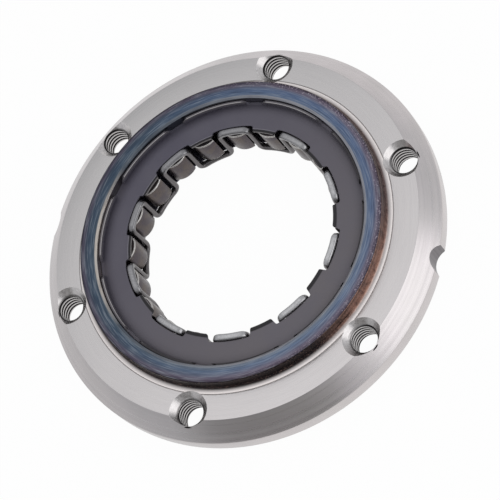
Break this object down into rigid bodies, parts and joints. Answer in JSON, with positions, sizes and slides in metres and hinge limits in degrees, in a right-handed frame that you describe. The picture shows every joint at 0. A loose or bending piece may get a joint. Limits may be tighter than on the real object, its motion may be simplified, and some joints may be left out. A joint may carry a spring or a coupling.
{
  "type": "sprag clutch",
  "caption": "Bolt-on one-way sprag clutch: flanged outer race with threaded holes, a windowed cage, rocking sprags and a wavy ribbon spring round an open bore.",
  "frame": {"origin": "on the clutch axis at the back face of the outer race", "axes": "+Z along the clutch axis, out of the front face with the raised boss; +X through one threaded hole"},
  "size_m": [0.11, 0.1098, 0.0149],
  "materials": {
    "race_steel": "turned and ground, temper colours on the boss",
    "phosphated_steel": "dark phosphated, matt",
    "spring_steel": "satin, drawn strip",
    "sprag_steel": "ground and hardened, dark satin"
  },
  "bodies": {
    "race": {"outer_race": "race_steel"},
    "cage": {"retainer": "phosphated_steel"},
    "ribbon": {"ribbon_spring": "spring_steel"},
    "sprag_01_body": {"sprag_01": "sprag_steel"},
    "sprag_02_body": {"sprag_02": "sprag_steel"},
    "sprag_03_body": {"sprag_03": "sprag_steel"},
    "sprag_04_body": {"sprag_04": "sprag_steel"},
    "sprag_05_body": {"sprag_05": "sprag_steel"},
    "sprag_06_body": {"sprag_06": "sprag_steel"},
    "sprag_07_body": {"sprag_07": "sprag_steel"},
    "sprag_08_body": {"sprag_08": "sprag_steel"},
    "sprag_09_body": {"sprag_09": "sprag_steel"},
    "sprag_10_body": {"sprag_10": "sprag_steel"},
    "sprag_11_body": {"sprag_11": "sprag_steel"},
    "sprag_12_body": {"sprag_12": "sprag_steel"},
    "sprag_13_body": {"sprag_13": "sprag_steel"},
    "sprag_14_body": {"sprag_14": "sprag_steel"},
    "sprag_15_body": {"sprag_15": "sprag_steel"},
    "sprag_16_body": {"sprag_16": "sprag_steel"},
    "sprag_17_body": {"sprag_17": "sprag_steel"},
    "sprag_18_body": {"sprag_18": "sprag_steel"},
    "sprag_19_body": {"sprag_19": "sprag_steel"},
    "sprag_20_body": {"sprag_20": "sprag_steel"}
  },
  "joints": [
    {"name": "cage_turn", "type": "hinge", "parent": "race", "child": "cage", "pos_m": [0, 0, 0], "axis": [0, 0, 1], "continuous": true},
    {"name": "sprag_01_tilt", "type": "hinge", "parent": "cage", "child": "sprag_01_body", "pos_m": [0.03162, 0.00759, 0.0075], "axis": [0, 0, 1], "range_deg": [0, 12], "stiffness_Nm_per_rad": 0.02, "springref_deg": -8.59},
    {"name": "sprag_02_tilt", "type": "hinge", "parent": "cage", "child": "sprag_02_body", "pos_m": [0.02773, 0.01699, 0.0075], "axis": [0, 0, 1], "range_deg": [0, 12]},
    {"name": "sprag_03_tilt", "type": "hinge", "parent": "cage", "child": "sprag_03_body", "pos_m": [0.02112, 0.02473, 0.0075], "axis": [0, 0, 1], "range_deg": [0, 12]},
    {"name": "sprag_04_tilt", "type": "hinge", "parent": "cage", "child": "sprag_04_body", "pos_m": [0.01244, 0.03004, 0.0075], "axis": [0, 0, 1], "range_deg": [0, 12]},
    {"name": "sprag_05_tilt", "type": "hinge", "parent": "cage", "child": "sprag_05_body", "pos_m": [0.00255, 0.03242, 0.0075], "axis": [0, 0, 1], "range_deg": [0, 12]},
    {"name": "sprag_06_tilt", "type": "hinge", "parent": "cage", "child": "sprag_06_body", "pos_m": [-0.00759, 0.03162, 0.0075], "axis": [0, 0, 1], "range_deg": [0, 12]},
    {"name": "sprag_07_tilt", "type": "hinge", "parent": "cage", "child": "sprag_07_body", "pos_m": [-0.01699, 0.02773, 0.0075], "axis": [0, 0, 1], "range_deg": [0, 12]},
    {"name": "sprag_08_tilt", "type": "hinge", "parent": "cage", "child": "sprag_08_body", "pos_m": [-0.02473, 0.02112, 0.0075], "axis": [0, 0, 1], "range_deg": [0, 12]},
    {"name": "sprag_09_tilt", "type": "hinge", "parent": "cage", "child": "sprag_09_body", "pos_m": [-0.03004, 0.01244, 0.0075], "axis": [0, 0, 1], "range_deg": [0, 12]},
    {"name": "sprag_10_tilt", "type": "hinge", "parent": "cage", "child": "sprag_10_body", "pos_m": [-0.03242, 0.00255, 0.0075], "axis": [0, 0, 1], "range_deg": [0, 12]},
    {"name": "sprag_11_tilt", "type": "hinge", "parent": "cage", "child": "sprag_11_body", "pos_m": [-0.03162, -0.00759, 0.0075], "axis": [0, 0, 1], "range_deg": [0, 12]},
    {"name": "sprag_12_tilt", "type": "hinge", "parent": "cage", "child": "sprag_12_body", "pos_m": [-0.02773, -0.01699, 0.0075], "axis": [0, 0, 1], "range_deg": [0, 12]},
    {"name": "sprag_13_tilt", "type": "hinge", "parent": "cage", "child": "sprag_13_body", "pos_m": [-0.02112, -0.02473, 0.0075], "axis": [0, 0, 1], "range_deg": [0, 12]},
    {"name": "sprag_14_tilt", "type": "hinge", "parent": "cage", "child": "sprag_14_body", "pos_m": [-0.01244, -0.03004, 0.0075], "axis": [0, 0, 1], "range_deg": [0, 12]},
    {"name": "sprag_15_tilt", "type": "hinge", "parent": "cage", "child": "sprag_15_body", "pos_m": [-0.00255, -0.03242, 0.0075], "axis": [0, 0, 1], "range_deg": [0, 12]},
    {"name": "sprag_16_tilt", "type": "hinge", "parent": "cage", "child": "sprag_16_body", "pos_m": [0.00759, -0.03162, 0.0075], "axis": [0, 0, 1], "range_deg": [0, 12]},
    {"name": "sprag_17_tilt", "type": "hinge", "parent": "cage", "child": "sprag_17_body", "pos_m": [0.01699, -0.02773, 0.0075], "axis": [0, 0, 1], "range_deg": [0, 12]},
    {"name": "sprag_18_tilt", "type": "hinge", "parent": "cage", "child": "sprag_18_body", "pos_m": [0.02473, -0.02112, 0.0075], "axis": [0, 0, 1], "range_deg": [0, 12]},
    {"name": "sprag_19_tilt", "type": "hinge", "parent": "cage", "child": "sprag_19_body", "pos_m": [0.03004, -0.01244, 0.0075], "axis": [0, 0, 1], "range_deg": [0, 12]},
    {"name": "sprag_20_tilt", "type": "hinge", "parent": "cage", "child": "sprag_20_body", "pos_m": [0.03242, -0.00255, 0.0075], "axis": [0, 0, 1], "range_deg": [0, 12]},
    {"name": "ribbon_shift", "type": "hinge", "parent": "cage", "child": "ribbon", "pos_m": [0, 0, 0.0067], "axis": [0, 0, 1], "range_deg": [-1.55, 0]}
  ],
  "couplings": [
    {"joint": "sprag_02_tilt", "follows": "sprag_01_tilt", "ratio": 1},
    {"joint": "sprag_03_tilt", "follows": "sprag_01_tilt", "ratio": 1},
    {"joint": "sprag_04_tilt", "follows": "sprag_01_tilt", "ratio": 1},
    {"joint": "sprag_05_tilt", "follows": "sprag_01_tilt", "ratio": 1},
    {"joint": "sprag_06_tilt", "follows": "sprag_01_tilt", "ratio": 1},
    {"joint": "sprag_07_tilt", "follows": "sprag_01_tilt", "ratio": 1},
    {"joint": "sprag_08_tilt", "follows": "sprag_01_tilt", "ratio": 1},
    {"joint": "sprag_09_tilt", "follows": "sprag_01_tilt", "ratio": 1},
    {"joint": "sprag_10_tilt", "follows": "sprag_01_tilt", "ratio": 1},
    {"joint": "sprag_11_tilt", "follows": "sprag_01_tilt", "ratio": 1},
    {"joint": "sprag_12_tilt", "follows": "sprag_01_tilt", "ratio": 1},
    {"joint": "sprag_13_tilt", "follows": "sprag_01_tilt", "ratio": 1},
    {"joint": "sprag_14_tilt", "follows": "sprag_01_tilt", "ratio": 1},
    {"joint": "sprag_15_tilt", "follows": "sprag_01_tilt", "ratio": 1},
    {"joint": "sprag_16_tilt", "follows": "sprag_01_tilt", "ratio": 1},
    {"joint": "sprag_17_tilt", "follows": "sprag_01_tilt", "ratio": 1},
    {"joint": "sprag_18_tilt", "follows": "sprag_01_tilt", "ratio": 1},
    {"joint": "sprag_19_tilt", "follows": "sprag_01_tilt", "ratio": 1},
    {"joint": "sprag_20_tilt", "follows": "sprag_01_tilt", "ratio": 1},
    {"joint": "ribbon_shift", "follows": "sprag_01_tilt", "ratio": -0.12819}
  ]
}
